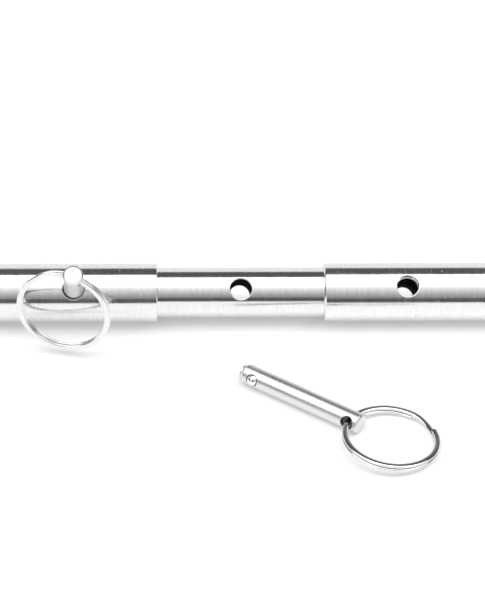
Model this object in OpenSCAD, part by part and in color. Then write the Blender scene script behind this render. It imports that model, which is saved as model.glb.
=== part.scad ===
/* [Tubes] */
// Outer diameter of the inner core tube
core_d = 19; // [16:0.5:32]
// Wall of the core tube
core_wall = 1.2; // [1:0.1:2.5]
// Length of the core tube
core_len = 415; // [300:5:600]
// Outer diameter of the two sleeves
sleeve_d = 22.2; // [19:0.1:38]
// Wall of the sleeves: leaves a 0.1 mm running gap on the core
sleeve_wall = 1.5; // [1:0.1:3]
// Length of each sleeve
sleeve_len = 300; // [200:5:500]
// Gap between the two sleeve mouths
mouth_gap = 62.5; // [20:0.5:200]
// Radius on the outer rim of each mouth
mouth_round = 0.7; // [0.2:0.1:1]

/* [Cross holes] */
// Diameter of the cross holes
hole_d = 8; // [5:0.5:12]
// Pitch of the cross holes along the bar
hole_pitch = 62.5; // [40:0.5:100]
// Holes each side of the middle one in the core
holes_each_side = 3; // [1:1:4]
// Height of the hole axis above the horizontal
hole_angle = 47; // [0:1:90]
// Extra roll of the loose right sleeve on the core
right_roll = 3.8; // [-10:0.2:10]

/* [Locking pins] */
// Pin diameter
pin_d = 7.5; // [5:0.1:12]
// Pin length
pin_len = 51; // [40:1:90]
// Head end of the fitted pin above the bar axis
pin_out = 38.5; // [30:0.5:80]
// Cross hole for the split ring
ring_hole_d = 5; // [4:0.1:6]
// Split ring hole centre to the head end
ring_hole_at = 4.1; // [3:0.1:8]
// Turn of the fitted pin about its own axis
pin_turn = -19.4; // [-90:0.2:90]
// Lean of the fitted pin along the bar, within its play in the hole
pin_lean = 0.9; // [0:0.1:1]
// Detent ball diameter
ball_d = 4.4; // [3:0.1:5]
// Ball centre to the tip
ball_at = 6; // [5:0.5:12]
// How far the ball stands out of the pin
ball_out = 0.95; // [0.5:0.05:1.5]
// Socket bore of the ball
socket_d = 4.56; // [3:0.01:6]

/* [Split rings] */
// Outer diameter
split_od = 35.4; // [25:0.2:45]
// Width of the strip seen face on
split_w = 2.1; // [1:0.1:3]
// Height of the two turns together
split_h = 2.8; // [1.5:0.1:4]
// Gap between the turns
split_gap = 0.1; // [0.05:0.05:0.3]
// Sector in which one turn ramps to the other
split_ramp = 38; // [10:1:60]

/* [Second pin, lying loose] */
// Middle of the pin, along the bar
loose_x = 20.6; // [-50:0.1:80]
// Middle of the pin, across the bar
loose_y = -53; // [-90:0.5:-40]
// Heading of the pin's head end
loose_heading = -35.9; // [-90:0.1:90]
// Upward tilt of its ring hole
loose_roll = 14; // [0:0.5:45]
// Sideways play of the ring in the hole
loose_ring_yaw = 2.5; // [-5:0.5:5]
// Upward tilt of the ring's wire in the hole
loose_ring_tilt = 4.5; // [0:0.5:12]
// Fall of the ring from the pin to the floor
loose_ring_fall = 2.6; // [0:0.1:8]

/* [End fittings] */
// Depth of the end plug inside the sleeve
plug_in = 22; // [15:1:40]
// Flange of the end plug
flange_t = 4; // [2:0.5:8]
// Shank of the swivel eye
shank_d = 8; // [6:0.5:12]
// Eye, middle of the wire
eye_r = 8.5; // [6:0.5:15]
// Eye, wire diameter
eye_wire = 6; // [4:0.5:8]
// End ring, middle of the wire
end_ring_r = 20; // [15:1:40]
// End ring, wire diameter
end_ring_wire = 7; // [4:0.5:10]
// Droop of each end ring, resting on the floor
end_ring_drop = 10.9; // [0:0.1:90]

/* [Hidden] */
$fn = 96;
steel = [0.80, 0.81, 0.82];
dark_steel = [0.62, 0.63, 0.65];
core_r = core_d / 2;
core_ri = core_r - core_wall;
sleeve_r = sleeve_d / 2;
sleeve_ri = sleeve_r - sleeve_wall;
hole_r = hole_d / 2;
pin_r = pin_d / 2;
floor_z = -sleeve_r;
mouth_x = mouth_gap / 2;
end_x = mouth_x + sleeve_len;
plug_r = sleeve_ri + 0.02;
shank_r = shank_d / 2;
washer_t = 1.4;
collar_z = flange_t + washer_t + 0.3;
collar_t = 2.3;
eye_z = collar_z + collar_t + eye_r + eye_wire / 2 - 0.8;
ring_pivot = eye_z + 1.2;
nut_t = 6;
nut_af = 13;
screw_r = 2.52;
split_rm = split_od / 2 - split_w / 2;
ring_seat = 0.2;

// Frames: columns are the local X, Y and Z axes, then the origin.
function frame(x, y, z, o) = [[x[0], y[0], z[0], o[0]], [x[1], y[1], z[1], o[1]],
  [x[2], y[2], z[2], o[2]], [0, 0, 0, 1]];
function unit(v) = v / norm(v);
function heading(az, el) = [cos(az) * cos(el), sin(az) * cos(el), sin(el)];

// Fitted pin: local Z runs from tip to head, local X along its cross hole.
hole_axis = [0, -cos(hole_angle), sin(hole_angle)];
hole_side = [0, sin(hole_angle), cos(hole_angle)];
pin_axis = cos(pin_lean) * hole_axis + sin(pin_lean) * [1, 0, 0];
left_x = cos(pin_turn) * cross(hole_side, pin_axis) + sin(pin_turn) * hole_side;
left_o = [-hole_pitch, 0, 0] + (pin_out - pin_len) * pin_axis;
left_frame = frame(left_x, cross(pin_axis, left_x), pin_axis, left_o);
left_q = left_o + (pin_len - ring_hole_at) * pin_axis;
left_fall = unit([0, 0, -1] + left_x[2] * left_x);
left_ring_o = left_q + (split_rm - ring_seat) * left_fall;
left_ring_frame = frame(left_x, left_fall, cross(left_x, left_fall), left_ring_o);

// Loose pin on the floor, and its ring resting on the floor at the far side.
loose_axis = heading(loose_heading, 0);
loose_side = heading(loose_heading - 90, loose_roll);
loose_o = [loose_x, loose_y, floor_z + pin_r] - pin_len / 2 * loose_axis;
loose_frame = frame(loose_side, cross(loose_axis, loose_side), loose_axis, loose_o);
loose_q = loose_o + (pin_len - ring_hole_at) * loose_axis;
wire_dir = heading(loose_heading - 90 + loose_ring_yaw, loose_ring_tilt);
out_flat = heading(loose_heading + loose_ring_yaw, 0);
up_flat = cross(out_flat, wire_dir) * (cross(out_flat, wire_dir)[2] > 0 ? 1 : -1);
out_dir = cos(loose_ring_fall) * out_flat - sin(loose_ring_fall) * up_flat;
loose_ring_o = loose_q + (split_rm - ring_seat) * out_dir;
loose_ring_frame = frame(wire_dir, out_dir, cross(wire_dir, out_dir), loose_ring_o);

module tube(r, ri, len) {
  difference() {
    cylinder(r = r, h = len);
    translate([0, 0, -1]) cylinder(r = ri, h = len + 2);
  }
}

module cross_hole(x, angle) {
  translate([x, 0, 0]) rotate([90 - angle, 0, 0])
    translate([0, 0, -2 * sleeve_r]) cylinder(r = hole_r, h = 4 * sleeve_r);
}

module core_tube() {
  color(steel) difference() {
    translate([-core_len / 2, 0, 0]) rotate([0, 90, 0]) tube(core_r, core_ri, core_len);
    for (i = [-holes_each_side:holes_each_side]) cross_hole(i * hole_pitch, hole_angle);
  }
}

// A sleeve along +X from its mouth at X 0, its outer mouth rim rounded.
module sleeve(angle) {
  rim = [for (a = [0:15:90]) [sleeve_r - mouth_round * (1 - sin(a)), mouth_round * (1 - cos(a))]];
  difference() {
    rotate([0, 90, 0]) rotate_extrude() polygon(concat([[sleeve_ri, 0.25], [sleeve_ri + 0.25, 0]],
      rim, [[sleeve_r, sleeve_len], [sleeve_ri, sleeve_len]]));
    cross_hole(hole_pitch - mouth_x, angle);
    translate([sleeve_len - plug_in / 2, 0, 0]) cylinder(r = screw_r - 0.02, h = 2 * sleeve_r);
  }
}

module left_sleeve() {
  color(steel) rotate([0, 0, 180]) translate([mouth_x, 0, 0]) sleeve(180 - hole_angle);
}

module right_sleeve() {
  color(steel) translate([mouth_x, 0, 0]) sleeve(hole_angle + right_roll);
}

// End fittings: local Z leaves the sleeve's end face, local X points up.
module at_left_end() {
  translate([-end_x, 0, 0]) rotate([0, -90, 0]) children();
}

module at_right_end() {
  translate([end_x, 0, 0]) rotate([0, 0, 180]) rotate([0, -90, 0]) children();
}

module plug() {
  color(dark_steel) difference() {
    rotate_extrude() polygon([[shank_r + 0.08, -plug_in], [plug_r - 0.8, -plug_in],
      [plug_r, -plug_in + 0.8], [plug_r, 0], [sleeve_r, 0], [sleeve_r, flange_t - 0.8],
      [sleeve_r - 0.8, flange_t], [shank_r + 0.08, flange_t]]);
    translate([0, 0, -plug_in / 2]) rotate([0, 90, 0]) cylinder(r = screw_r - 0.02, h = 2 * sleeve_r);
  }
}

module grub_screw() {
  color(dark_steel) difference() {
    translate([0, 0, -plug_in / 2]) rotate([0, 90, 0]) translate([0, 0, 5.4])
      cylinder(r = screw_r, h = 5.5);
    translate([8.4, 0, -plug_in / 2]) rotate([0, 90, 0]) cylinder(d = 2.9, h = 4, $fn = 6);
  }
}

module washer() {
  color(steel) translate([0, 0, flange_t]) tube(8.6, shank_r + 0.08, washer_t);
}

module eye() {
  color(steel) {
    translate([0, 0, -plug_in - 0.3 - nut_t - 1]) cylinder(r = shank_r, h = plug_in + collar_z + 8);
    translate([0, 0, collar_z]) cylinder(r = 7.5, h = collar_t);
    translate([0, 0, collar_z + collar_t]) cylinder(r1 = 5.4, r2 = 3.2, h = 1.8);
    translate([0, 0, eye_z]) rotate([90, 0, 0]) rotate_extrude()
      translate([eye_r, 0]) circle(r = eye_wire / 2);
  }
}

module nut() {
  color(dark_steel) translate([0, 0, -plug_in - 0.3 - nut_t]) difference() {
    intersection() {
      cylinder(d = nut_af / cos(30), h = nut_t, $fn = 6);
      rotate_extrude() polygon([[0, 0], [nut_af / 2, 0], [nut_af / 2 + 1.1, 0.7],
        [nut_af / 2 + 1.1, nut_t - 0.7], [nut_af / 2, nut_t], [0, nut_t]]);
    }
    translate([0, 0, -1]) cylinder(r = shank_r - 0.02, h = nut_t + 2);
  }
}

module end_ring() {
  color(steel) translate([0, 0, ring_pivot]) rotate([0, -end_ring_drop, 0])
    translate([0, 0, end_ring_r]) rotate([0, 90, 0]) rotate_extrude()
      translate([end_ring_r, 0]) circle(r = end_ring_wire / 2);
}

module left_plug() { at_left_end() plug(); }
module left_screw() { at_left_end() grub_screw(); }
module left_washer() { at_left_end() washer(); }
module left_eye() { at_left_end() eye(); }
module left_nut() { at_left_end() nut(); }
module left_end_ring() { at_left_end() end_ring(); }
module right_plug() { at_right_end() plug(); }
module right_screw() { at_right_end() grub_screw(); }
module right_washer() { at_right_end() washer(); }
module right_eye() { at_right_end() eye(); }
module right_nut() { at_right_end() nut(); }
module right_end_ring() { at_right_end() end_ring(); }

// Pins: tip at Z 0, stepped nose, chamfered head, ball socket and ring hole along X.
module pin_shaft() {
  color(steel) difference() {
    rotate_extrude() polygon([[0, 0], [2.6, 0], [2.9, 0.3], [2.9, 0.9], [pin_r, 2],
      [pin_r, pin_len - 0.6], [pin_r - 0.6, pin_len], [0, pin_len]]);
    translate([-2 * pin_r, 0, pin_len - ring_hole_at]) rotate([0, 90, 0])
      cylinder(d = ring_hole_d, h = 4 * pin_r);
    translate([-3, 0, ball_at]) rotate([0, 90, 0]) cylinder(d = socket_d, h = 3 * pin_r);
  }
}

module detent_ball() {
  color(steel) translate([pin_r + ball_out - ball_d / 2, 0, ball_at]) sphere(d = ball_d);
}

// Sweep about Z: section is a list of [radius, height], path a list of [angle, rise].
module sweep(section, path) {
  n = len(section);
  m = len(path) - 1;
  sides = [for (i = [0:m - 1]) for (j = [0:n - 1])
    [i * n + j, i * n + (j + 1) % n, (i + 1) * n + (j + 1) % n, (i + 1) * n + j]];
  ends = [[for (j = [n - 1:-1:0]) j], [for (j = [0:n - 1]) m * n + j]];
  polyhedron(points = [for (q = path) for (p = section)
    [p[0] * cos(q[0]), p[0] * sin(q[0]), p[1] + q[1]]], faces = concat(sides, ends));
}

module detent_spring() {
  section = [for (a = [0:60:300]) [1.7 + 0.28 * cos(a), 0.28 * sin(a)]];
  color(dark_steel) translate([-2.66, 0, ball_at]) rotate([0, 90, 0])
    sweep(section, [for (i = [0:56]) [22.5 * i, 2.3 * i / 56]]);
}

// The strip's cross-section, its long edges broken, drawn in by e all round.
function strip(e) = let (r0 = split_rm - split_w / 2 + e, r1 = split_rm + split_w / 2 - e,
  t = (split_h - split_gap) / 2, c = 0.35)
  [[r0 + c, e], [r1 - c, e], [r1, e + c], [r1, t - e - c], [r1 - c, t - e], [r0 + c, t - e],
  [r0, t - e - c], [r0, e + c]];

// Two flat turns joined by a ramp across one sector.
module split_ring() {
  t = (split_h - split_gap) / 2;
  low = split_gap / 2;
  color(steel) {
    rotate([0, 0, split_ramp]) rotate_extrude(angle = 360 - split_ramp)
      translate([0, low]) polygon(strip(0));
    rotate([0, 0, split_ramp]) rotate_extrude(angle = 360 - split_ramp)
      translate([0, -low - t]) polygon(strip(0));
    translate([0, 0, -low - t]) sweep(strip(0.03), concat([[-1.5, 0]],
      [for (i = [0:12]) [split_ramp * i / 12, (split_gap + t) * (1 - cos(15 * i)) / 2]],
      [[split_ramp + 1.5, split_gap + t]]));
  }
}

module left_pin() { multmatrix(left_frame) pin_shaft(); }
module left_ball() { multmatrix(left_frame) detent_ball(); }
module left_spring() { multmatrix(left_frame) detent_spring(); }
module left_split_ring() { multmatrix(left_ring_frame) rotate([0, 0, 207]) split_ring(); }
module loose_pin() { multmatrix(loose_frame) pin_shaft(); }
module loose_ball() { multmatrix(loose_frame) detent_ball(); }
module loose_spring() { multmatrix(loose_frame) detent_spring(); }
module loose_split_ring() { multmatrix(loose_ring_frame) rotate([0, 0, 142]) split_ring(); }

core_tube();
left_sleeve();
right_sleeve();
left_plug();
left_screw();
left_washer();
left_eye();
left_nut();
left_end_ring();
right_plug();
right_screw();
right_washer();
right_eye();
right_nut();
right_end_ring();
left_pin();
left_ball();
left_spring();
left_split_ring();
loose_pin();
loose_ball();
loose_spring();
loose_split_ring();
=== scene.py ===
"""Telescopic spreader beam: drilled sleeves on a core tube, with detent pins and split rings."""
import math

import bpy
import numpy as np
from mathutils import Matrix, Vector


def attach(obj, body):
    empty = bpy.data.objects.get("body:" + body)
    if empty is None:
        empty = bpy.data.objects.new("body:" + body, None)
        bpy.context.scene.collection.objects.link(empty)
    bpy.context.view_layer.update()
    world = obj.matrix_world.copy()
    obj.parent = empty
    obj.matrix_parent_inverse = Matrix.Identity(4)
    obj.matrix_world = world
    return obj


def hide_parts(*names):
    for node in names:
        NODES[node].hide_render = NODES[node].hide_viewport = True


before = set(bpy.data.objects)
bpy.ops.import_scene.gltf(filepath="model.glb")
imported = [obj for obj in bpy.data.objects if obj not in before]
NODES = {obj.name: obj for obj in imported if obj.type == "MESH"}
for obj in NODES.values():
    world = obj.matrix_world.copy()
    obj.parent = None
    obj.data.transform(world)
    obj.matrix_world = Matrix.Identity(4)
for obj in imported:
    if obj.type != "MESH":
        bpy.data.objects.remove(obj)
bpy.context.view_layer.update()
MM = 0.001

# ---------------------------------------------------------------- sizes, as in the CAD, in mm
CORE_R, CORE_RI, CORE_LEN = 9.5, 8.3, 415.0
SLEEVE_R, SLEEVE_RI, SLEEVE_LEN = 11.1, 9.6, 300.0
MOUTH_X, PITCH = 31.25, 62.5
HOLE_R, HOLE_ANGLE, RIGHT_ROLL = 4.0, 47.0, 3.8
PIN_R, PIN_LEN, PIN_OUT, PIN_TURN, PIN_LEAN = 3.75, 51.0, 38.5, -19.4, 0.9
RING_HOLE_R, RING_HOLE_AT = 2.5, 4.1
BALL_R, BALL_AT, BALL_OUT, SOCKET_R = 2.2, 6.0, 0.95, 2.28
SPLIT_OD, SPLIT_W, SPLIT_H, SPLIT_GAP = 35.4, 2.1, 2.8, 0.1
SPLIT_RAMP, RING_SEAT = 38.0, 0.2
RING_MID = (SPLIT_OD - SPLIT_W) / 2
LOOSE_X, LOOSE_Y, LOOSE_HEADING, LOOSE_ROLL = 20.6, -53.0, -35.9, 14.0
LOOSE_YAW, LOOSE_TILT, LOOSE_FALL = 2.5, 4.5, 2.6
SOCKET_FOOT, SOCKET_BEVEL, RING_HOLE_BEVEL = -3.0, 0.26, 0.2
SPRING_WIRE_R, SPRING_COIL_R, SPRING_TURNS, SPRING_RISE, SPRING_FOOT = 0.28, 1.7, 3.5, 2.3, -2.66
RING_START = {"left": 207, "loose": 142}  # where a split ring's joggle begins, in degrees
FLOOR_Z = -SLEEVE_R


def heading(az, el=0.0):
    """The direction at an azimuth and an elevation in degrees."""
    a, e = math.radians(az), math.radians(el)
    return Vector((math.cos(a) * math.cos(e), math.sin(a) * math.cos(e), math.sin(e)))


def frame_of(x, z, origin):
    """Local X and Z axes and an origin in mm, as a matrix in metres."""
    y = z.cross(x)
    m = Matrix((x, y, z)).transposed().to_4x4()
    m.translation = Vector(origin) * MM
    return m


# ---------------------------------------------------------------- camera
CAM_PLACE = Vector((-0.0376, -0.7476, 0.5763))
CAM_ELEVATION, CAM_YAW, CAM_ROLL = 37.76, -2.955, 1.665
CAM_LENS, CAM_SENSOR, CAM_CLIP = 150.2, 36.0, (0.05, 60.0)


def make_camera():
    """The camera at the photograph's viewing angle, fitted to the tubes' outlines."""
    e, yaw, roll = (math.radians(a) for a in (CAM_ELEVATION, CAM_YAW, CAM_ROLL))
    turn = Matrix.Rotation(yaw, 3, "Z")
    right = turn @ Vector((1, 0, 0))
    up = turn @ Vector((0, math.sin(e), math.cos(e)))
    back = turn @ Vector((0, -math.cos(e), math.sin(e)))
    r = right * math.cos(roll) + up * math.sin(roll)
    u = up * math.cos(roll) - right * math.sin(roll)
    data = bpy.data.cameras.new("camera")
    data.lens, data.sensor_width = CAM_LENS, CAM_SENSOR
    cam = bpy.data.objects.new("camera", data)
    m = Matrix((r, u, back)).transposed().to_4x4()
    m.translation = CAM_PLACE
    cam.matrix_world = m
    bpy.context.scene.collection.objects.link(cam)
    bpy.context.scene.camera = cam
    data.clip_start, data.clip_end = CAM_CLIP


make_camera()

# ---------------------------------------------------------------- light and floor
# Radiance of the studio by its angle from overhead, in the plane across the bar.
# A positive angle is on the camera's side.
STUDIO = (
    (-100, 0.35), (-60, 0.35), (-54, 0.14), (-51, 0.10), (-26, 0.09), (-22, 0.16), (-18, 2.6),
    (24, 2.6), (29, 1.15), (45, 0.78), (62, 0.45), (74, 0.30), (78, 0.11), (90, 0.08), (100, 0.08),
)
# Near the horizon, by the angle round from the camera's side: panels and the dark room between.
PANELS = (
    (0, 0.1), (24, 0.1), (30, 1.1), (52, 1.1), (57, 0.12), (104, 0.12), (112, 0.95),
    (150, 0.95), (180, 0.35),
)
PANEL_TOP = (0.36, 0.26)  # the heights between which the panels fade in, on the unit sphere
PANEL_FRONT = (20, 26)  # degrees from the camera's side, between which they fade in
PANEL_BACK = (158, 150)  # and out again toward the back
BOX_END, END_GREY = (0.78, 0.84), 0.10  # where the lights end toward each side, and beyond them
WHITE_SEEN = 1.2  # what a camera ray that meets nothing sees
FLOOR_NEAR, FLOOR_REACH, FLOOR_GAP = -0.25, 20.0, 0.00002
FLOOR_GREY, FLOOR_GLOW = 0.76, 0.22
CARD_Y, CARD_TOP = 0.045, 0.0365  # a white card behind the bar, seen only in reflections
CARD_HALF, CARD_GLOW = 1.5, 0.93


def grey(level):
    return level, level, level, 1


def set_or_link(nt, socket, value):
    """Gives a socket a number, a colour or another node's output."""
    if isinstance(value, bpy.types.NodeSocket):
        nt.links.new(value, socket)
    else:
        socket.default_value = value


def math_of(nt, op, *values):
    node = nt.nodes.new("ShaderNodeMath")
    node.operation = op
    for socket, value in zip(node.inputs, values):
        set_or_link(nt, socket, value)
    return node.outputs[0]


def span(nt, value, start, end, low=0.0, high=1.0):
    """Low where value is at start, high where it is at end, and clamped outside."""
    node = nt.nodes.new("ShaderNodeMapRange")
    for name, number in (("From Min", start), ("From Max", end), ("To Min", low), ("To Max", high)):
        node.inputs[name].default_value = number
    nt.links.new(value, node.inputs["Value"])
    return node.outputs[0]


def mixed(nt, factor, a, b):
    node = nt.nodes.new("ShaderNodeMix")
    node.data_type = "RGBA"
    nt.links.new(factor, node.inputs["Factor"])
    set_or_link(nt, node.inputs["A"], a)
    set_or_link(nt, node.inputs["B"], b)
    return node.outputs["Result"]


def ramp_of(nt, value, stops):
    """A colour ramp from (place, grey) pairs."""
    node = nt.nodes.new("ShaderNodeValToRGB")
    elements = node.color_ramp.elements
    while len(elements) > 1:
        elements.remove(elements[-1])
    for i, (at, level) in enumerate(stops):
        element = elements[0] if i == 0 else elements.new(at)
        element.position = at
        element.color = grey(level)
    nt.links.new(value, node.inputs[0])
    return node.outputs[0]


def make_world():
    """The studio: a bright strip overhead, panels near the horizon and a dark room behind them."""
    world = bpy.data.worlds.new("studio")
    bpy.context.scene.world = world
    world.use_nodes = True
    nt = world.node_tree
    nt.nodes.clear()
    new, link = nt.nodes.new, nt.links.new
    parts = new("ShaderNodeSeparateXYZ")
    link(new("ShaderNodeTexCoord").outputs["Generated"], parts.inputs[0])
    x, y, z = (parts.outputs[name] for name in "XYZ")
    toward = math_of(nt, "MULTIPLY", y, -1)
    brightest = max(level for _, level in STUDIO)

    angle = math_of(nt, "ARCTAN2", toward, z)
    across = ramp_of(nt, span(nt, angle, -math.pi, math.pi),
                     [((a + 180) / 360, level / brightest) for a, level in STUDIO])
    bearing = math_of(nt, "ABSOLUTE", math_of(nt, "ARCTAN2", x, toward))
    sides = ramp_of(nt, span(nt, bearing, 0.0, math.pi),
                    [(a / 180, level / brightest) for a, level in PANELS])
    panel_share = math_of(nt, "MULTIPLY", span(nt, z, *PANEL_TOP),
                          span(nt, bearing, *(math.radians(a) for a in PANEL_FRONT)))
    panel_share = math_of(nt, "MULTIPLY", panel_share,
                          span(nt, bearing, *(math.radians(a) for a in PANEL_BACK)))
    both = mixed(nt, panel_share, across, sides)
    beyond = span(nt, math_of(nt, "ABSOLUTE", x), *BOX_END)

    sky = new("ShaderNodeBackground")
    sky.inputs["Strength"].default_value = brightest
    link(mixed(nt, beyond, both, grey(END_GREY / brightest)), sky.inputs["Color"])
    white = new("ShaderNodeBackground")
    white.inputs["Strength"].default_value = WHITE_SEEN
    white.inputs["Color"].default_value = grey(1)
    mix = new("ShaderNodeMixShader")
    link(new("ShaderNodeLightPath").outputs["Is Camera Ray"], mix.inputs[0])
    link(sky.outputs[0], mix.inputs[1])
    link(white.outputs[0], mix.inputs[2])
    link(mix.outputs[0], new("ShaderNodeOutputWorld").inputs["Surface"])


def stage_sheet(name, corners, level, glow, **sockets):
    """One flat quad of the set, with its base grey, its own light and other shader numbers."""
    mesh = bpy.data.meshes.new(name)
    mesh.from_pydata(corners, [], [(0, 1, 2, 3)])
    mat = bpy.data.materials.new(name + "_paper")
    mat.use_nodes = True
    shader = mat.node_tree.nodes["Principled BSDF"]
    shader.inputs["Base Color"].default_value = grey(level)
    shader.inputs["Emission Color"].default_value = grey(1)
    shader.inputs["Emission Strength"].default_value = glow
    for socket, number in sockets.items():
        shader.inputs[socket.replace("_", " ")].default_value = number
    mesh.materials.append(mat)
    sheet = bpy.data.objects.new(name, mesh)
    bpy.context.scene.collection.objects.link(sheet)
    return sheet


def make_set():
    """The floor, just under the bar, and the card behind it."""
    far, z = FLOOR_REACH, FLOOR_Z * MM - FLOOR_GAP
    stage_sheet("floor", [(-far, FLOOR_NEAR, z), (far, FLOOR_NEAR, z),
                          (far, far, z), (-far, far, z)],
                FLOOR_GREY, FLOOR_GLOW, Roughness=0.9, Specular_IOR_Level=0.1)
    half, foot = CARD_HALF, FLOOR_Z * MM
    card = stage_sheet("back_card", [(-half, CARD_Y, foot), (half, CARD_Y, foot),
                                     (half, CARD_Y, CARD_TOP), (-half, CARD_Y, CARD_TOP)],
                       0, CARD_GLOW)
    card.visible_camera = card.visible_diffuse = card.visible_shadow = False


bpy.context.scene.view_settings.view_transform = "Standard"
make_world()
make_set()


# ---------------------------------------------------------------- materials
SMUDGE_SCALE, SCRATCH_STRETCH, BUMP_DEPTH = 90, (900, 140, 900), 0.0001


def metal(name, colour, rough, lines, line_bump, line_tone, smudge, scratch=0.0, aniso=0.0,
          turned_piece=True):
    """Steel with fine lines, smudges and scratches. lines is the coordinate stretch they run
    across. A turned piece's coordinates are its own, with Z along its axis."""
    mat = bpy.data.materials.new(name)
    mat.use_nodes = True
    nt = mat.node_tree
    new, link = nt.nodes.new, nt.links.new
    shader = nt.nodes["Principled BSDF"]
    shader.inputs["Metallic"].default_value = 1.0
    if aniso:
        shader.inputs["Anisotropic"].default_value = aniso
        tangent = new("ShaderNodeTangent")
        tangent.direction_type, tangent.axis = "RADIAL", "X"  # the bar's own axis
        link(tangent.outputs[0], shader.inputs["Tangent"])
    if turned_piece:
        coord = new("ShaderNodeAttribute")
        coord.attribute_name = "local"
        place = coord.outputs["Vector"]
    else:
        place = new("ShaderNodeTexCoord").outputs["Object"]

    def noise(stretch, scale, detail, roughness):
        stretched = new("ShaderNodeMapping")
        stretched.inputs["Scale"].default_value = stretch
        link(place, stretched.inputs["Vector"])
        node = new("ShaderNodeTexNoise")
        node.inputs["Scale"].default_value = scale
        node.inputs["Detail"].default_value = detail
        node.inputs["Roughness"].default_value = roughness
        link(stretched.outputs[0], node.inputs["Vector"])
        return node.outputs["Fac"]

    def from_noise(value, low, high):
        return span(nt, value, 0.3, 0.7, low, high)

    fine = noise(lines, 1.0, 4, 0.6)
    broad = noise((1, 1, 1), SMUDGE_SCALE, 3, 0.5)
    tone = math_of(nt, "MULTIPLY", from_noise(fine, 1 - line_tone, 1.0),
                   from_noise(broad, 1 - smudge * 0.6, 1.0))
    roughness = math_of(nt, "ADD", from_noise(fine, rough * 0.8, rough * 1.2),
                        from_noise(broad, 0.0, smudge))
    height = fine
    if scratch:
        groove = span(nt, noise(SCRATCH_STRETCH, 1.0, 2, 0.4), 0.70, 0.74)
        tone = math_of(nt, "MULTIPLY", tone, span(nt, groove, 0.0, 1.0, 1.0, 1 - scratch))
        roughness = math_of(nt, "ADD", roughness, span(nt, groove, 0.0, 1.0, 0.0, 0.2))
        height = math_of(nt, "SUBTRACT", fine, span(nt, groove, 0.0, 1.0, 0.0, 0.5))
    link(mixed(nt, tone, grey(0), (*colour, 1)), shader.inputs["Base Color"])
    link(roughness, shader.inputs["Roughness"])
    bump = new("ShaderNodeBump")
    bump.inputs["Strength"].default_value = line_bump
    bump.inputs["Distance"].default_value = BUMP_DEPTH
    link(height, bump.inputs["Height"])
    link(bump.outputs[0], shader.inputs["Normal"])
    return mat


ROUND_LINES, BORE_LINES, SPECKS = (240, 240, 1200), (50, 50, 2600), (900, 900, 900)
STEEL = metal("polished_tube", (0.88, 0.88, 0.885), 0.11, ROUND_LINES, 0.40, 0.10, 0.03,
              scratch=0.10, aniso=0.45)
CORE_STEEL = metal("polished_core", (0.86, 0.86, 0.865), 0.10, ROUND_LINES, 0.40, 0.11, 0.03,
                   aniso=0.45)
# Near-black steel for the inside of the tubes: painted shade.
BORE_PAINTED_SHADE = metal("tube_bore_painted_shade", (0.13, 0.13, 0.135), 0.45, BORE_LINES, 0.2, 0.2, 0.05)
# Near-black steel for the pin's socket and ring hole: painted shade.
PIN_BORE_PAINTED_SHADE = metal("pin_bore_painted_shade", (0.20, 0.20, 0.21), 0.4, SPECKS, 0.1, 0.2, 0.05)
PIN_STEEL = metal("ground_pin", (0.80, 0.80, 0.81), 0.30, BORE_LINES, 0.08, 0.08, 0.05,
                  scratch=0.12)
BALL_STEEL = metal("bearing_ball", (0.88, 0.88, 0.89), 0.08, SPECKS, 0.01, 0.02, 0.02)
RING_STEEL = metal("split_ring_wire", (0.85, 0.85, 0.86), 0.07, SPECKS, 0.04, 0.05, 0.03)
SPRING_STEEL = metal("spring_wire", (0.60, 0.61, 0.63), 0.25, SPECKS, 0.05, 0.05, 0.05)
TURNED_STEEL = metal("turned_fitting", (0.72, 0.72, 0.74), 0.2, (200, 200, 200), 0.10, 0.06, 0.05,
                     turned_piece=False)
FORGED_STEEL = metal("polished_ring", (0.82, 0.82, 0.83), 0.16, (400, 400, 400), 0.10, 0.06, 0.05,
                     turned_piece=False)


# ---------------------------------------------------------------- mesh building
FILLET_STEPS = 4
PER_CORNER = FILLET_STEPS + 1


def outline(corners, closed):
    """(s, r, fillet) corners to points (s, r, ns, nr), with normals to the left of travel.
    The outline is closed, or its two ends lie on the axis."""
    pts = []
    n = len(corners)
    for i, (s, r, f) in enumerate(corners):
        here = Vector((s, r))
        if not closed and i in (0, n - 1):
            step = Vector(corners[1][:2]) - here if i == 0 else here - Vector(corners[-2][:2])
            t = step.normalized()
            pts.append((s, r, -t.y, t.x))
            continue
        before = (here - Vector(corners[i - 1][:2])).normalized()
        after = (Vector(corners[(i + 1) % n][:2]) - here).normalized()
        turn = math.atan2(before.x * after.y - before.y * after.x, before.dot(after))
        trim = f * math.tan(abs(turn) / 2)
        start = here - before * trim
        side = 1 if turn > 0 else -1
        centre = start + Vector((-before.y, before.x)) * f * side
        for k in range(PER_CORNER):
            a = turn * k / FILLET_STEPS
            nv = Vector((-before.y, before.x))
            nv = Vector((nv.x * math.cos(a) - nv.y * math.sin(a),
                         nv.x * math.sin(a) + nv.y * math.cos(a)))
            p = centre - nv * f * side
            pts.append((p.x, p.y, nv.x, nv.y))
    return pts


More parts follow.
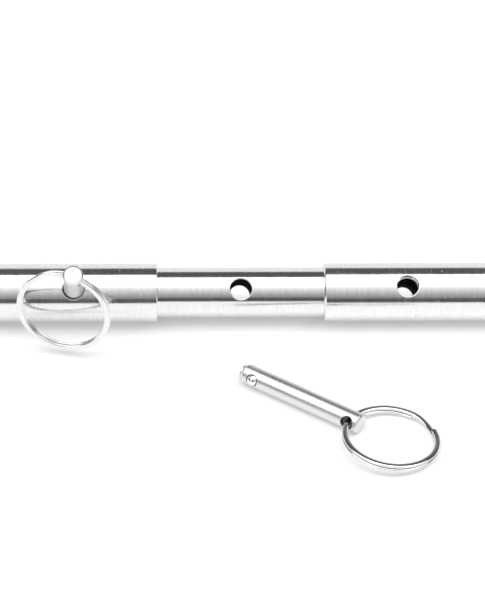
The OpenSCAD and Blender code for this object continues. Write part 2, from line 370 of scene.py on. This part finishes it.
class Shell:
    """Collects vertices in mm with their true normals, and faces. A vertex may be marked dark,
    and a face whose vertices are all dark takes the second material, near-black painted shade for
    the inside of bores and holes."""

    def __init__(self):
        self.co, self.no, self.faces, self.dark = [], [], [], set()

    def add(self, co, no, dark=False):
        self.co.append(co)
        self.no.append(no)
        if dark:
            self.dark.add(len(self.co) - 1)
        return len(self.co) - 1

    def band(self, a, b):
        """Faces between two rings of vertices."""
        for i in range(len(a)):
            j = (i + 1) % len(a)
            self.faces.append((a[i], a[j], b[j], b[i]))

    def fan(self, ring, middle):
        """Faces from a ring of vertices to one in its middle."""
        for i in range(len(ring)):
            self.faces.append((ring[i], ring[(i + 1) % len(ring)], middle))

    def piece(self, name, matrix, mat, body, slot, node, bore=None):
        """Makes the Blender piece, with its place in its mesh and its own coordinates kept in
        the attribute "local", for the materials."""
        mesh = bpy.data.meshes.new(name)
        local = [Vector(c) * MM for c in self.co]
        mesh.from_pydata([tuple(matrix @ c) for c in local], [], self.faces)
        marks = mesh.attributes.new("local", "FLOAT_VECTOR", "POINT")
        marks.data.foreach_set("vector", np.array(local, np.float32).ravel())
        mesh.materials.append(mat)
        # The second material is painted shade: near-black steel on the faces marked dark inside
        # bores and holes.
        if bore:
            mesh.materials.append(bore)
            for poly in mesh.polygons:
                if all(v in self.dark for v in poly.vertices):
                    poly.material_index = 1
        mesh.shade_smooth()
        normals = np.array(self.no, float) @ np.array(matrix.to_3x3()).T
        normals /= np.maximum(np.linalg.norm(normals, axis=1, keepdims=True), 1e-9)
        face_n = np.zeros(len(mesh.polygons) * 3)
        mesh.polygons.foreach_get("normal", face_n)
        face_n = face_n.reshape(-1, 3)
        wrong = [p.index for p in mesh.polygons
                 if np.dot(face_n[p.index], normals[list(p.vertices)].mean(0)) < 0]
        for i in wrong:
            mesh.polygons[i].flip()
        mesh.update()
        mesh.normals_split_custom_set_from_vertices([tuple(n) for n in normals])
        mesh.validate()
        obj = bpy.data.objects.new(name, mesh)
        bpy.context.scene.collection.objects.link(obj)
        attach(obj, body)
        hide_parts(node)


LINES = 96  # lines round a turned piece


def turned(profile, walls, closed):
    """Turns a profile about Z. Each wall says at which profile point a straight wall begins,
    whether it faces out (1) or in (-1), and its ports, the round holes cut in it: s is a port's
    place along Z, r its radius, and cells and half the grid square that it replaces. Returns the
    shell and the rims of those squares."""
    sh = Shell()
    rings, cuts, rims = [], set(), []
    profile = list(profile)
    # Put the lines that each port needs into the wall.
    for wall in walls:
        i = next(k for k in range(len(profile)) if wall["at"] is profile[k])
        s0, r0, ns, nr = profile[i]
        s1 = profile[(i + 1) % len(profile)][0]
        step = 1 if s1 > s0 else -1
        extra = []
        for port in sorted(wall["ports"], key=lambda p: p["s"] * step):
            c, half = port["cells"], port["half"]
            port["lines"] = [(port["s"] + half * step * (k - c) / c, r0, ns, nr)
                             for k in range(2 * c + 1)]
            extra += port["lines"]
        profile[i + 1:i + 1] = extra
    for s, r, ns, nr in profile:
        if r < 1e-6:
            rings.append([sh.add((0, 0, s), (0, 0, 1 if ns > 0 else -1))] * LINES)
            continue
        ring = []
        for j in range(LINES):
            a = 2 * math.pi * j / LINES
            c, d = math.cos(a), math.sin(a)
            # Vertices on inward-facing surfaces are marked dark, so the bore takes painted shade.
            ring.append(sh.add((r * c, r * d, s), (nr * c, nr * d, ns), nr < -0.5))
        rings.append(ring)
    for wall in walls:
        for port in wall["ports"]:
            c = port["cells"]
            i0 = next(k for k, p in enumerate(profile) if p is port["lines"][0])
            r0 = port["lines"][0][1]
            step = 1 if port["lines"][-1][0] > port["lines"][0][0] else -1
            for side in port["sides"]:
                jc = 0 if side > 0 else LINES // 2
                for di in range(2 * c):
                    for dj in range(-c, c):
                        cuts.add((i0 + di, (jc + dj) % LINES))
                loop = []
                for u, v in square(c):
                    i = i0 + c + u * step
                    j = (jc + v * side) % LINES
                    loop.append(rings[i][j])
                rims.append({"port": port, "side": side, "r": r0, "loop": loop,
                             "out": wall["out"]})
    n = len(profile)
    for i in range(n if closed else n - 1):
        a, b = rings[i], rings[(i + 1) % n]
        for j in range(LINES):
            if (i, j) in cuts:
                continue
            k = (j + 1) % LINES
            if a[0] == a[1]:
                sh.faces.append((a[j], b[k], b[j]))
            elif b[0] == b[1]:
                sh.faces.append((a[j], a[k], b[j]))
            else:
                sh.faces.append((a[j], a[k], b[k], b[j]))
    return sh, rims


def square(c):
    """The grid points round a square of half width c, anticlockwise from its right side's
    middle."""
    pts = [(c, v) for v in range(0, c)] + [(u, c) for u in range(c, -c, -1)]
    pts += [(-c, v) for v in range(c, -c, -1)] + [(u, -c) for u in range(-c, c)]
    return pts + [(c, v) for v in range(-c, 0)]


WALL_ROWS, BEVEL_ROWS = 5, 3
ROW_CROWDING = 1.5  # draws the rows on the wall toward the hole


def port_rings(sh, rim, bevel):
    """Rings from a port's square to its bevelled mouth. Returns the last ring's indices and its
    angles."""
    port, side, r0, out = rim["port"], rim["side"], rim["r"], rim["out"]
    c, half, hr = port["cells"], port["half"], port["r"]
    pts = square(c)
    angles = [math.atan2(v, u) for u, v in pts]
    last = rim["loop"]
    mouth = hr + bevel

    def on_wall(p, phi):
        a = phi if side > 0 else math.pi - phi
        ca, sa = math.cos(a), math.sin(a)
        return (r0 * ca, r0 * sa, port["s"] + p), (out * ca, out * sa, 0)

    for row in range(1, WALL_ROWS + 1):
        t = 1 - (1 - row / WALL_ROWS) ** ROW_CROWDING
        ring = []
        for (u, v), psi in zip(pts, angles):
            p0, f0 = half * u / c, 2 * math.pi * v / LINES
            p1, f1 = mouth * math.cos(psi), math.asin(mouth * math.sin(psi) / r0)
            ring.append(sh.add(*on_wall(p0 + (p1 - p0) * t, f0 + (f1 - f0) * t), out < 0))
        sh.band(last, ring)
        last = ring
    for row in range(1, BEVEL_ROWS + 1):
        b = math.pi / 2 * row / BEVEL_ROWS
        rr = hr + bevel * (1 - math.sin(b))
        drop = bevel * (1 - math.cos(b))
        ring = []
        for psi in angles:
            q, p = rr * math.sin(psi), rr * math.cos(psi)
            h = math.sqrt(r0 * r0 - q * q)
            wall_n = Vector((out * h / r0, out * q / r0, 0))
            bore_n = Vector((0, -math.sin(psi), -math.cos(psi)))
            nv = wall_n * math.cos(b) + bore_n * math.sin(b)
            # Inner-wall rows, and a dark port's last bevel row, are marked dark for painted shade.
            ring.append(sh.add(((h - drop * out) * side, q, port["s"] + p),
                               (nv.x * side, nv.y, nv.z),
                               out < 0 or row == BEVEL_ROWS and port["dark"]))
        sh.band(last, ring)
        last = ring
    return last, angles


TUBE_CELLS, TUBE_HALF = 10, 6.4  # the grid square that a tube's hole replaces
INNER_BEVEL = 0.12


def tube_shell(length, r, ri, places, rims=(0.3, 0.12), far=(0.2, 0.12), bevel=0.45):
    """A tube along Z from 0, drilled right through along X at each place. rims and far are the
    fillets of its two ends, outside and inside."""
    prof = outline([(0, r, rims[0]), (length, r, far[0]), (length, ri, far[1]), (0, ri, rims[1])],
                   True)

    def made():
        return [{"s": s, "r": HOLE_R, "cells": TUBE_CELLS, "half": TUBE_HALF, "sides": (1, -1),
                 "dark": False} for s in places]

    outer = {"at": prof[PER_CORNER - 1], "ports": made(), "out": 1}
    inner = {"at": prof[3 * PER_CORNER - 1], "ports": made(), "out": -1}
    sh, found = turned(prof, [outer, inner], True)
    ends = {}
    for rim in found:
        ring, _ = port_rings(sh, rim, bevel if rim["out"] > 0 else INNER_BEVEL)
        ends[(rim["port"]["s"], rim["side"], rim["out"])] = ring
    for s in places:
        for side in (1, -1):
            sh.band(ends[(s, side, 1)], ends[(s, side, -1)])
    return sh


def pin_shell():
    """The locking pin along Z from its tip: stepped nose, chamfered head, and along X its ring
    hole and ball socket."""
    prof = outline([
        (0, 0, 0), (0, 2.6, 0.12), (0.3, 2.9, 0.12), (0.9, 2.9, 0.1), (2, PIN_R, 0.3),
        (PIN_LEN - 0.6, PIN_R, 0.25), (PIN_LEN, PIN_R - 0.6, 0.2), (PIN_LEN, 0, 0)], False)
    shank = prof[4 * PER_CORNER]
    # Ports marked dark take painted shade: near-black steel in the socket and the ring hole.
    socket = {"s": BALL_AT, "r": SOCKET_R, "cells": 14, "half": 2.9, "sides": (1,), "dark": True}
    ring_hole = {"s": PIN_LEN - RING_HOLE_AT, "r": RING_HOLE_R, "cells": 15, "half": 3.05,
                 "sides": (1, -1), "dark": True}
    sh, found = turned(prof, [{"at": shank, "ports": [socket, ring_hole], "out": 1}], False)
    bore = []
    for rim in found:
        if rim["port"] is ring_hole:
            bore.append(port_rings(sh, rim, RING_HOLE_BEVEL)[0])
            continue
        ring, angles = port_rings(sh, rim, SOCKET_BEVEL)
        # The socket's floor is marked dark, painted shade.
        low = [sh.add((SOCKET_FOOT, SOCKET_R * math.sin(a), BALL_AT + SOCKET_R * math.cos(a)),
                      (0.7, -math.sin(a), -math.cos(a)), True) for a in angles]
        sh.band(ring, low)
        sh.fan(low, sh.add((SOCKET_FOOT, 0, BALL_AT), (1, 0, 0), True))
    sh.band(bore[0], bore[1])
    return sh


STRIP_POWER, STRIP_POINTS = 2.6, 32
STRIP_FILL = 0.86  # a turn's height as a share of its room, so that a line shows between turns


def strip_section(w, h):
    """A crowned flat wire, w along r and h along z, centred, with normals."""
    power, pts = STRIP_POWER, []
    for i in range(STRIP_POINTS):
        a = 2 * math.pi * (i + 0.5) / STRIP_POINTS
        c, d = math.cos(a), math.sin(a)
        r = math.copysign(abs(c) ** (2 / power), c)
        z = math.copysign(abs(d) ** (2 / power), d)
        nr = math.copysign(abs(r) ** (power - 1), r) / w
        nz = math.copysign(abs(z) ** (power - 1), z) / h
        size = math.hypot(nr, nz)
        pts.append((r * w / 2, z * h / 2, nr / size, nz / size))
    return pts


def swept(section, stations):
    """Sweeps a section about Z and caps both ends. Stations are (angle, radius, height, scale)."""
    sh = Shell()
    rings = []
    for a, rad, z, k in stations:
        c, d = math.cos(a), math.sin(a)
        rings.append([sh.add(((rad + r * k) * c, (rad + r * k) * d, z + h * k),
                             (nr * c, nr * d, nz)) for r, h, nr, nz in section])
    for ring, after in zip(rings, rings[1:]):
        sh.band(ring, after)
    for i, way in ((0, -1), (-1, 1)):
        a, rad, z, k = stations[i]
        out = (-math.sin(a) * way, math.cos(a) * way, 0)
        cap = [sh.add(sh.co[v], out) for v in rings[i]]
        sh.fan(cap, sh.add((rad * math.cos(a), rad * math.sin(a), z), out))
    return sh


RING_STATIONS, END_GAP = 420, 0.6  # stations along the wire, and degrees left free at each end
END_ROUND, END_SIZE = 1.2, 0.86  # degrees over which an end tapers, and its size at the tip


def split_ring_shell(start):
    """Two turns of flat wire with a joggle from one to the other, its ends at the joggle."""
    t = (SPLIT_H - SPLIT_GAP) / 2
    rise = t + SPLIT_GAP
    a0, a1 = SPLIT_RAMP + END_GAP, 720 - END_GAP
    stations = []
    for i in range(RING_STATIONS + 1):
        a = a0 + (a1 - a0) * i / RING_STATIONS
        k = min(max((a - 360) / SPLIT_RAMP, 0), 1)
        k = k * k * (3 - 2 * k)
        edge = min(a - a0, a1 - a, END_ROUND) / END_ROUND
        scale = END_SIZE + (1 - END_SIZE) * math.sqrt(max(0, 1 - (1 - edge) ** 2))
        stations.append((math.radians(a + start), RING_MID, -rise / 2 + rise * k, scale))
    return swept(strip_section(SPLIT_W, STRIP_FILL * t), stations)


BALL_ROWS, BALL_COLUMNS = 32, 48


def ball_shell(radius, at):
    sh = Shell()
    middle, rings = Vector(at), []
    for i in range(1, BALL_ROWS):
        b = math.pi * i / BALL_ROWS
        ring = []
        for j in range(BALL_COLUMNS):
            a = 2 * math.pi * j / BALL_COLUMNS
            nv = Vector((math.sin(b) * math.cos(a), math.sin(b) * math.sin(a), math.cos(b)))
            ring.append(sh.add(tuple(middle + nv * radius), tuple(nv)))
        rings.append(ring)
    for a, b in zip(rings, rings[1:]):
        sh.band(a, b)
    for ring, z in ((rings[0], 1), (rings[-1], -1)):
        sh.fan(ring, sh.add((at[0], at[1], at[2] + z * radius), (0, 0, z)))
    return sh


SPRING_SIDES, SPRING_STATIONS = 12, 140


def spring_shell():
    """The coil under the ball."""
    around = [2 * math.pi * k / SPRING_SIDES for k in range(SPRING_SIDES)]
    section = [(SPRING_WIRE_R * math.cos(a), SPRING_WIRE_R * math.sin(a), math.cos(a), math.sin(a))
               for a in around]
    steps = [i / SPRING_STATIONS for i in range(SPRING_STATIONS + 1)]
    return swept(section, [(2 * math.pi * SPRING_TURNS * t, SPRING_COIL_R, SPRING_RISE * t, 1)
                           for t in steps])


# ---------------------------------------------------------------- places
ALONG = Vector((1, 0, 0))


def hole_line(angle):
    """The way out of a cross hole toward the camera's side, at an angle in degrees from level."""
    a = math.radians(angle)
    return Vector((0, -math.cos(a), math.sin(a)))


def blend(a, b, angle):
    """The direction an angle in degrees from a toward b."""
    return a * math.cos(math.radians(angle)) + b * math.sin(math.radians(angle))


UP_AXIS = hole_line(HOLE_ANGLE)
SIDE = ALONG.cross(UP_AXIS) * -1

pin_axis = blend(UP_AXIS, ALONG, PIN_LEAN)
tip = Vector((-PITCH, 0, 0)) + pin_axis * (PIN_OUT - PIN_LEN)
cross = blend(SIDE.cross(pin_axis), SIDE, PIN_TURN)
LEFT_PIN = frame_of(cross, pin_axis, tip)
ring_at = tip + pin_axis * (PIN_LEN - RING_HOLE_AT)
fall = (Vector((0, 0, -1)) + cross * cross.z).normalized()
LEFT_RING = frame_of(cross, cross.cross(fall), ring_at + fall * (RING_MID - RING_SEAT))

loose_dir = heading(LOOSE_HEADING)
loose_cross = heading(LOOSE_HEADING - 90, LOOSE_ROLL)
loose_tip = Vector((LOOSE_X, LOOSE_Y, FLOOR_Z + PIN_R)) - loose_dir * (PIN_LEN / 2)
LOOSE_PIN = frame_of(loose_cross, loose_dir, loose_tip)
wire = heading(LOOSE_HEADING - 90 + LOOSE_YAW, LOOSE_TILT)
flat = heading(LOOSE_HEADING + LOOSE_YAW)
lift = flat.cross(wire)
lift = lift if lift.z > 0 else -lift
outward = blend(flat, -lift, LOOSE_FALL)
loose_at = loose_tip + loose_dir * (PIN_LEN - RING_HOLE_AT)
LOOSE_RING = frame_of(wire, wire.cross(outward), loose_at + outward * (RING_MID - RING_SEAT))

# ---------------------------------------------------------------- pieces
core = tube_shell(CORE_LEN, CORE_R, CORE_RI, [CORE_LEN / 2 + i * PITCH for i in range(-3, 4)])
core.piece("core_tube_skin", frame_of(UP_AXIS, ALONG, (-CORE_LEN / 2, 0, 0)), CORE_STEEL,
           "bar", "steel", "core_tube", BORE_PAINTED_SHADE)

HOLE_IN = PITCH - MOUTH_X  # from a sleeve's mouth to its cross hole
sleeve = tube_shell(SLEEVE_LEN, SLEEVE_R, SLEEVE_RI, [HOLE_IN], rims=(0.45, 0.25), bevel=0.62)
sleeve.piece("left_sleeve_skin", frame_of(UP_AXIS, -ALONG, (-MOUTH_X, 0, 0)), STEEL,
             "bar", "steel", "left_sleeve", BORE_PAINTED_SHADE)
sleeve = tube_shell(SLEEVE_LEN, SLEEVE_R, SLEEVE_RI, [HOLE_IN], rims=(0.95, 0.45))
sleeve.piece("right_sleeve_skin",
             frame_of(hole_line(HOLE_ANGLE + RIGHT_ROLL), ALONG, (MOUTH_X, 0, 0)), STEEL,
             "right_sleeve", "steel", "right_sleeve", BORE_PAINTED_SHADE)

ball_at = (PIN_R + BALL_OUT - BALL_R, 0, BALL_AT)
# The spring's own Z is the pin's X.
spring_place = Matrix(((0, 0, 1, SPRING_FOOT * MM), (0, 1, 0, 0), (-1, 0, 0, BALL_AT * MM),
                       (0, 0, 0, 1)))
for side, pin_place, ring_place in (("left", LEFT_PIN, LEFT_RING),
                                    ("loose", LOOSE_PIN, LOOSE_RING)):
    pin_shell().piece(side + "_pin_skin", pin_place, PIN_STEEL,
                      side + "_pin", "pin_steel", side + "_pin", PIN_BORE_PAINTED_SHADE)
    ball_shell(BALL_R, ball_at).piece(side + "_detent_ball", pin_place, BALL_STEEL,
                                      side + "_ball", "ball_steel", side + "_ball")
    spring_shell().piece(side + "_detent_spring", pin_place @ spring_place, SPRING_STEEL,
                         side + "_pin", "spring_steel", side + "_spring")
    split_ring_shell(RING_START[side]).piece(side + "_split_ring_wire", ring_place, RING_STEEL,
                                             side + "_split_ring", "ring_steel",
                                             side + "_split_ring")

for node, obj in NODES.items():
    turned_part = node.split("_")[-1] in ("plug", "screw", "nut")
    obj.data.materials.clear()
    obj.data.materials.append(TURNED_STEEL if turned_part else FORGED_STEEL)
